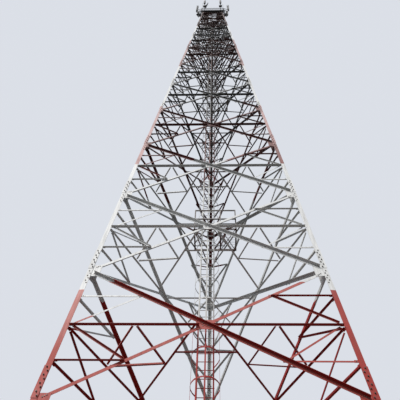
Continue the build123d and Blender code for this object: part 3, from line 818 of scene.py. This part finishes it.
hoops = bmesh.new()
outer = hoop_line(CAGE_RADIUS, LADDER_WIDTH / 2 + HOOP_FOOT)
inner = hoop_line(CAGE_RADIUS - HOOP_SKIN, LADDER_WIDTH / 2 + HOOP_INNER_FOOT)
around = outer + [(-x, y) for x, y in outer[-2::-1]] + [(-x, y) for x, y in inner] + inner[-2::-1]
for count in HOOP_COUNTS:
    top = count * HOOP_PITCH
    low, high = ladder_point(0, top - HOOP_DEPTH, 0), ladder_point(0, top, 0)
    extruded(hoops, low, high, around, RIGHT, LADDER_OUT)
    for side in (-1, 1):
        foot = ladder_point(side * (LADDER_WIDTH / 2 + HOOP_FOOT), top - HOOP_DEPTH / 2, -0.002)
        rod(hoops, foot, foot + RIGHT * side * HOOP_BOLT, HOOP_BOLT, 6)
hoops = piece("hoops", hoops, ladder_paint)
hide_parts("cage_hoops")

straps = bmesh.new()
low, high = (ladder_point(0, along, 0) for along in STRAP_ENDS)
for step in STRAP_TURNS:
    turn = math.radians(step)
    radius = CAGE_RADIUS - HOOP_SKIN - STRAP_HALF[1] - 0.0001
    middle = Vector((radius * math.sin(turn), CAGE_REACH - CAGE_RADIUS + radius * math.cos(turn)))
    along = Vector((math.cos(turn), -math.sin(turn))) * STRAP_HALF[0]
    across = Vector((math.sin(turn), math.cos(turn))) * STRAP_HALF[1]
    corners = [middle + along * a + across * b for a, b in ((-1, -1), (1, -1), (1, 1), (-1, 1))]
    extruded(straps, low, high, [(c.x, c.y) for c in corners], RIGHT, LADDER_OUT)
straps = piece("straps", straps, ladder_paint)
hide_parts("cage_straps")
finish_nodes(ladder_paint, "ladder_stringers")


# The foot plates: thick hot-dip galvanised plates with a shoe round the leg's outer faces and four
# holes for anchor bolts. The same finish, in other tones, is used for all bare steel.
def galvanised(name, colour, dark, rust_share):
    made, tree, shader, place = new_finish(name)
    spangle = tree.nodes.new("ShaderNodeTexVoronoi")
    spangle.inputs["Scale"].default_value = 60
    tree.links.new(place, spangle.inputs["Vector"])
    flecks = ranged(tree, spangle.outputs["Distance"], 0, 0.7)
    metal = mix(tree, flecks, colour, dark)
    worn = use(
        tree, weathered, Place=place, Coat=metal, Faded=dark,
        Bare=(0.22, 0.22, 0.22, 1), Rust=(0.19, 0.07, 0.03, 1),
        Fading=0.6, Grime=0.45, Chips=rust_share,
    )
    tree.links.new(worn["Colour"], shader.inputs["Base Color"])
    tree.links.new(worn["Roughness"], shader.inputs["Roughness"])
    shader.inputs["Metallic"].default_value = 0.55
    bumped(tree, shader, worn["Height"], 0.2, 0.001)
    return made


foot_zinc = galvanised("foot_zinc", (0.52, 0.54, 0.55, 1), (0.38, 0.40, 0.41, 1), rust_share=0.5)
finish_nodes(foot_zinc, "foot_plate_")


# The rest platforms: an angle frame round the climbing hatch and beside it a floor of open
# grating, held up by two crossed flats. The frames are brown with rust, the guard rails dark.
platform_rust = galvanised(
    "platform_rust", (0.16, 0.09, 0.07, 1), (0.10, 0.055, 0.04, 1), rust_share=0.9)
grating_zinc = galvanised(
    "grating_zinc", (0.46, 0.47, 0.48, 1), (0.30, 0.31, 0.32, 1), rust_share=0.35)
rail_steel = galvanised(
    "rail_steel", (0.17, 0.16, 0.155, 1), (0.10, 0.09, 0.085, 1), rust_share=0.6)
finish_nodes(rail_steel, "rest_railing_")
PLATFORM_LEFT = -0.245
PLATFORM_HATCH = 0.205
PLATFORM_RIGHT = 0.500
PLATFORM_BAR = 0.025
PLATFORM_INSET = 0.064
PLATFORM_SKIN = 0.004
PLATFORM_DEPTH = 0.030
PLATFORM_SEAT = 0.004
STRINGER_DEPTH = 0.030
HATCH_MARGIN = 0.032
CROSSED_LIFTS = (0.004, 0.008)
CROSSED_FLAT = (0.012, 0, 0.003)
GRATING_PITCH = 0.0205
GRATING_EDGE = 0.005
BEARING_BAR = (0.0015, 0, 0.0125)
GRATING_TIES = 10
TIE_BAR = (0.003, 0, 0.003)
TIE_SEAT = 0.0395
TIE_MARGIN = 0.012


def level_bar(mesh, start, end, outline):
    """A bar lying level; its outline is (across, up) points."""
    extruded(mesh, start, end, outline, UP.cross((end - start).normalized()), UP)


half = PLATFORM_BAR / 2
wall = -half + PLATFORM_SKIN
angle = [(-half, 0), (half, 0), (half, PLATFORM_SKIN), (wall, PLATFORM_SKIN),
         (wall, PLATFORM_DEPTH), (-half, PLATFORM_DEPTH)]
turned = {1: angle, -1: [(-across, up) for across, up in angle]}
for index, name in ((2, "lower"), (5, "middle"), (8, "upper")):
    seat = plan_level(index) + PLATFORM_SEAT
    front = PLATFORM_INSET - width_at(seat) / (2 * math.sqrt(3)) - FOOT_Y
    back = front - PLATFORM_INSET + LADDER_DEPTH + STRINGER_DEPTH + HATCH_MARGIN
    frame_bars = bmesh.new()
    for y, flip in ((front + half, -1), (back - half, 1)):
        level_bar(frame_bars, Vector((PLATFORM_LEFT, y, seat)), Vector((PLATFORM_RIGHT, y, seat)),
                  turned[flip])
    sides = ((PLATFORM_LEFT + half, 1), (PLATFORM_HATCH + half, -1), (PLATFORM_RIGHT - half, -1))
    for x, flip in sides:
        level_bar(frame_bars, Vector((x, front + PLATFORM_SKIN, seat)),
                  Vector((x, back - PLATFORM_SKIN, seat)), turned[flip])
    low, high = PLATFORM_HATCH + PLATFORM_BAR, PLATFORM_RIGHT - PLATFORM_BAR
    for first, last, lift in zip((low, high), (high, low), CROSSED_LIFTS):
        level_bar(frame_bars, Vector((first, front + PLATFORM_BAR, seat + lift)),
                  Vector((last, back - PLATFORM_BAR, seat + lift)), strip_outline(*CROSSED_FLAT))
    frame_bars = piece("rest_frame_" + name, frame_bars, platform_rust)
    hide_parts("rest_platform_" + name)
    grating = bmesh.new()
    z = seat + PLATFORM_DEPTH
    grated = PLATFORM_RIGHT - PLATFORM_HATCH - 2 * GRATING_EDGE
    for step in range(round(grated / GRATING_PITCH) + 1):
        x = PLATFORM_HATCH + GRATING_EDGE + step * GRATING_PITCH
        level_bar(grating, Vector((x, front, z)), Vector((x, back, z)), strip_outline(*BEARING_BAR))
    z = seat + TIE_SEAT
    for step in range(GRATING_TIES):
        y = front + TIE_MARGIN + step * (back - front - 2 * TIE_MARGIN) / (GRATING_TIES - 1)
        level_bar(grating, Vector((PLATFORM_HATCH, y, z)), Vector((PLATFORM_RIGHT, y, z)),
                  strip_outline(*TIE_BAR))
    piece("rest_grating_" + name, grating, grating_zinc)


# The bolts: leg splices in two staggered rows, the plates at the leg nodes and the crossings, and
# one at each end of the small members. Hot-dip galvanised, dulled, with a little rust under them.
bolt_zinc = galvanised(
    "bolt_zinc", (0.20, 0.19, 0.18, 1), (0.11, 0.095, 0.085, 1), rust_share=0.8)
SPLICE_BOLTS = 8
SPLICE_FIRST = 0.09
SPLICE_PITCH = 0.063
COVER_SKIN = 0.004
NODE_BOLTS = 6
NODE_FIRST = -0.30
NODE_PITCH = 0.058
DIAGONAL_FACE = -0.002
NODE_ROWS = (0.74, 0.45)
SPLICE_ROWS = (0.74, 0.40)
PLATE_BOLTS = (0.016, 0.042, 0.068)
CROSSING_BOLTS = (-0.042, 0.042)
BOLT_HEAD_RADIUS = 0.0105
NODE_BOLT_RADIUS = 0.0095
PLATE_BOLT_RADIUS = 0.008
SMALL_BOLT_RADIUS = 0.0065


def hexagon(mesh, place, outward, radius, depth):
    """A six-sided head or nut that stands on a face."""
    rod(mesh, place, place + outward * depth, radius, 6)


leg_bolts = bmesh.new()
for turn in range(3):
    outward = face_frame(turn)[2]
    for side in (-1, 1):
        for index in range(1, PANELS):
            flange = LEG_FLANGES[tier_of(index)]
            for step in range(SPLICE_BOLTS):
                z = level(index) + SPLICE_FIRST + step * SPLICE_PITCH
                x = side * (width_at(z) / 2 - flange * SPLICE_ROWS[step % 2])
                outside, inside = (on_face(turn, x, z, out) for out in (COVER_SKIN, PLATE_FACE))
                hexagon(leg_bolts, outside, outward, BOLT_HEAD_RADIUS, 0.009)
                rod(leg_bolts, on_face(turn, x, z, 0.013), on_face(turn, x, z, 0.020), 0.006, 6)
                hexagon(leg_bolts, inside, -outward, BOLT_HEAD_RADIUS, 0.007)
            for step in range(NODE_BOLTS):
                z = level(index) + NODE_FIRST + step * NODE_PITCH
                x = side * (width_at(z) / 2 - flange * NODE_ROWS[step % 2])
                hexagon(leg_bolts, on_face(turn, x, z, 0.0), outward, NODE_BOLT_RADIUS, 0.008)
piece("leg_bolts", leg_bolts, bolt_zinc)

plate_bolts = bmesh.new()
for turn in range(3):
    outward = face_frame(turn)[2]
    for index in range(PANELS):
        tier = tier_of(index)
        width = DIAGONAL_WIDTHS[tier]
        for side in (-1, 1):
            start = Vector((side * width_at(level(index)) / 2, level(index)))
            end = Vector((-side * width_at(level(index + 1)) / 2, level(index + 1)))
            run = (end - start).normalized()
            face = DIAGONAL_FACE if side > 0 else PLATE_FACE
            for foot, way in ((start, run), (end, -run)):
                inset = LEG_FLANGES[tier] + 2 * LEG_GAP + width / 2
                inset = inset / (abs(way.x) - TAPER / 2 * way.y)
                for step in PLATE_BOLTS:
                    spot = foot + way * (inset + step)
                    hexagon(plate_bolts, on_face(turn, spot.x, spot.y, face), outward,
                            PLATE_BOLT_RADIUS, 0.007)
            middle = Vector((0, crossing(index)))
            for reach in CROSSING_BOLTS:
                spot = middle + run * reach
                hexagon(plate_bolts, on_face(turn, spot.x, spot.y, face), outward,
                        PLATE_BOLT_RADIUS, 0.007)
    for place in bolt_places:
        if place[0] == turn:
            hexagon(plate_bolts, on_face(*place), outward, SMALL_BOLT_RADIUS, 0.006)
piece("plate_bolts", plate_bolts, bolt_zinc)


# The head: deck, rail and pipes of grey galvanised steel, and the lightning rod. All of it is
# weathered dull, and its very dark tone is painted shade, so that it stands dark against the sky.
head_zinc = galvanised(
    "head_zinc", (0.10, 0.10, 0.105, 1), (0.06, 0.06, 0.062, 1), rust_share=0.3)
finish_nodes(head_zinc, "head_", "antenna_pipes", "lightning_rod")


# The panel antennas: slim rounded fibreglass covers with a plug socket below, clamped to the pipes
# with two brackets each, and painted a dull dark grey. Two more stand on poles off the front
# corners of the deck, each pole on an arm from the deck and one from the rail.
antenna_cover, tree, shader, place = new_finish("antenna_cover")
worn = use(
    tree, weathered, Place=place, Coat=(0.06, 0.06, 0.06, 1), Faded=(0.09, 0.09, 0.088, 1),
    Bare=(0.09, 0.088, 0.082, 1), Rust=(0.08, 0.074, 0.07, 1), Fading=0.7, Grime=0.5, Chips=0.1,
)
tree.links.new(worn["Colour"], shader.inputs["Base Color"])
tree.links.new(worn["Roughness"], shader.inputs["Roughness"])
bumped(tree, shader, worn["Height"], 0.1, 0.0006)
finish_nodes(antenna_cover, "panel_antennas")
AXIS = Vector(MAST_AXIS)


def rounded_box(mesh, centre, turn, size, edge):
    """A box with rounded upright edges, turned about the upright."""
    place = Matrix.Translation(centre) @ Matrix.Rotation(turn, 4, "Z") @ Matrix.Diagonal((*size, 1))
    made = bmesh.ops.create_cube(mesh, size=1, matrix=place)
    edges = dict.fromkeys(e for v in made["verts"] for e in v.link_edges)
    uprights = [e for e in edges if abs(e.verts[0].co.z - e.verts[1].co.z) > size[2] / 2]
    bmesh.ops.bevel(mesh, geom=uprights, offset=edge, offset_type="OFFSET", segments=3,
                    profile=0.5, affect="EDGES", material=-1)


RING_SIDE = 1.30
ARM_LENGTH = 0.240
PIPE_OUT = RING_SIDE / (2 * math.sqrt(3)) + ARM_LENGTH
PIPE_SPREAD = 0.42
COVER_OUT = 0.075
FRONT_COVER = (28.72, 0.62)
SIDE_COVER = (28.90, 0.95)
BRACKET = (0.05, 0.05, 0.03)
BRACKET_EDGE = 0.004
POLE_PLACE = (0.80, -0.29)
POLE_ENDS = (28.42, 30.25)
POLE_RADIUS = 0.019
POLE_ARMS = (28.53, 29.054)
POLE_ARM_FOOT = (0.60, -0.35)
POLE_COVER = (0.12, 0.06, 1.15)
COVER_SIZE = (0.105, 0.055)
COVER_EDGE = 0.018
SOCKETS = (-0.025, 0.025)
SOCKET_RADIUS = 0.009
BRACKET_OUT = 0.035
BRACKET_SHARES = (-0.32, 0.32)
POLE_COVER_OUT = 0.062
POLE_COVER_HEIGHT = 29.45
POLE_BRACKETS = (29.05, 29.85)


def at_head(turn, x, y, z):
    """A point from the mast's axis, with the given face in front."""
    return AXIS + Matrix.Rotation(math.radians(120 * turn), 3, "Z") @ Vector((x, y, z))


covers = bmesh.new()
head_gear = bmesh.new()
for turn in range(3):
    angle = math.radians(120 * turn)
    for x in (-PIPE_SPREAD, PIPE_SPREAD):
        low, height = FRONT_COVER if turn == 0 else SIDE_COVER
        centre = at_head(turn, x, -PIPE_OUT - COVER_OUT, low + height / 2)
        rounded_box(covers, centre, angle, (*COVER_SIZE, height), COVER_EDGE)
        foot = centre - Vector((0, 0, height / 2))
        for step in SOCKETS:
            socket = foot + Matrix.Rotation(angle, 3, "Z") @ Vector((step, 0, 0))
            rod(head_gear, socket, socket - Vector((0, 0, 0.025)), SOCKET_RADIUS, 10)
        for share in BRACKET_SHARES:
            arm = at_head(turn, x, -PIPE_OUT - BRACKET_OUT, low + height * (0.5 + share))
            rounded_box(head_gear, arm, angle, BRACKET, BRACKET_EDGE)
for side in (-1, 1):
    pole = AXIS + Vector((side * POLE_PLACE[0], POLE_PLACE[1], 0))
    deck = AXIS + Vector((side * POLE_ARM_FOOT[0], POLE_ARM_FOOT[1], 0))
    low, high = (pole + Vector((0, 0, z)) for z in POLE_ENDS)
    rod(head_gear, low, high, POLE_RADIUS, 10)
    for z in POLE_ARMS:
        rod(head_gear, deck + Vector((0, 0, z)), pole + Vector((0, 0, z)), 0.011, 8)
    cover = pole + Vector((side * POLE_COVER_OUT, 0, POLE_COVER_HEIGHT))
    rounded_box(covers, cover, math.radians(90), POLE_COVER, 0.02)
    for z in POLE_BRACKETS:
        rounded_box(head_gear, pole + Vector((side * 0.02, 0, z)), 0, BRACKET, BRACKET_EDGE)
covers = piece("antenna_covers", covers, antenna_cover)
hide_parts("panel_antennas")


# The small gear of the head: a yagi clamped to the rail, two small drum antennas, one on the left
# pole and one on an arm off the leg, radio boxes clamped behind the antennas, two whips on the
# deck, and galleries of grating bars at both sides of it. All of it is galvanised.
YAGI_ENDS = ((-0.40, -0.389, 29.02), (-0.26, -0.389, 30.45))
YAGI_ROWS = 9
YAGI_FIRST = 0.18
YAGI_PITCH = 0.095
YAGI_HALF = 0.085
YAGI_SHORTER = 0.004
DRUMS = ((-0.83, -0.26, 28.75), (-0.79, -0.24, 28.02))
DRUM_RADIUS = 0.052
RADIO_SIZE = (0.16, 0.08, 0.24)
RADIO_OUT = 0.058
RADIO_BOXES = (
    (0, -PIPE_SPREAD, 28.62), (0, PIPE_SPREAD, 28.62), (1, PIPE_SPREAD, 29.2),
    (2, -PIPE_SPREAD, 29.2), (1, -PIPE_SPREAD, 28.75), (2, PIPE_SPREAD, 28.75),
)
DECK_TOP = 28.54
WHIPS = ((-0.56, -0.36, 30.75), (0.57, -0.30, 30.6))
GALLERY_BARS = 13
GALLERY_FRONT = -0.375
GALLERY_BACK = 0.13
GALLERY_SIDE = 0.64
GALLERY_SEAT = 28.503
GALLERY_PITCH = 0.038
GALLERY_BAR = (0.020, 0, 0.030)
GALLERY_EDGE_SEAT = 28.495
GALLERY_EDGE = (0.030, 0, 0.045)
lean_foot, lean_top = (at_head(0, *end) for end in YAGI_ENDS)
rod(head_gear, lean_foot, lean_top, 0.016, 8)
for step in range(YAGI_ROWS):
    middle = lean_foot.lerp(lean_top, YAGI_FIRST + step * YAGI_PITCH)
    half = Vector((0, YAGI_HALF - step * YAGI_SHORTER, 0))
    rod(head_gear, middle - half, middle + half, 0.007, 6)
for x, y, z in DRUMS:
    drum = at_head(0, x, y, z)
    back, mouth = drum + Vector((0.03, 0.015, 0)), drum + Vector((-0.05, -0.04, 0))
    rod(head_gear, back, mouth, DRUM_RADIUS, 20)
    if z < MAST_HEIGHT:
        width = width_at(z)
        leg_side = at_head(0, -width / 2 + 0.02, -width / (2 * math.sqrt(3)) + 0.01, z)
        rod(head_gear, drum, leg_side, 0.009, 8)
for turn, x, z in RADIO_BOXES:
    centre = at_head(turn, x, -PIPE_OUT + RADIO_OUT, z)
    rounded_box(head_gear, centre, math.radians(120 * turn), RADIO_SIZE, 0.008)
for x, y, top in WHIPS:
    foot = at_head(0, x, y, DECK_TOP)
    rod(head_gear, foot, foot + Vector((0, 0, top - DECK_TOP)), 0.007, 8)


def gallery_bar(start, end, z, outline):
    """A level bar of a side gallery, between two (x, y) points from the axis."""
    first, last = (at_head(0, x, y, z) for x, y in (start, end))
    level_bar(head_gear, first, last, outline)


for side in (-1, 1):
    for step in range(GALLERY_BARS):
        y = GALLERY_FRONT + 0.030 + step * GALLERY_PITCH
        inner_x = 0.60 - 0.577 * (y - GALLERY_FRONT)
        gallery_bar((side * inner_x, y), (side * GALLERY_SIDE, y), GALLERY_SEAT,
                    strip_outline(*GALLERY_BAR))
    edges = (
        ((GALLERY_SIDE, GALLERY_FRONT), (GALLERY_SIDE, GALLERY_BACK)),
        ((0.30, GALLERY_BACK), (GALLERY_SIDE + 0.015, GALLERY_BACK)),
    )
    for start, end in edges:
        gallery_bar((side * start[0], start[1]), (side * end[0], end[1]), GALLERY_EDGE_SEAT,
                    strip_outline(*GALLERY_EDGE))
piece("head_gear", head_gear, head_zinc)


# The obstruction lamp: a red glass dome on a base of the same red, screwed to the deck beside the
# rail. Dust dulls it.
lamp_glass, tree, shader, place = new_finish("lamp_glass")
dust = ranged(tree, noise(tree, place, 30.0, 3.0), 0.4, 0.7)
glass = mix(tree, dust, (0.35, 0.01, 0.008, 1), (0.30, 0.06, 0.05, 1))
tree.links.new(glass, shader.inputs["Base Color"])
tree.links.new(ranged(tree, dust, 0, 1, 0.12, 0.45), shader.inputs["Roughness"])
shader.inputs["Coat Weight"].default_value = 0.6
finish_nodes(lamp_glass, "obstruction_lamp")
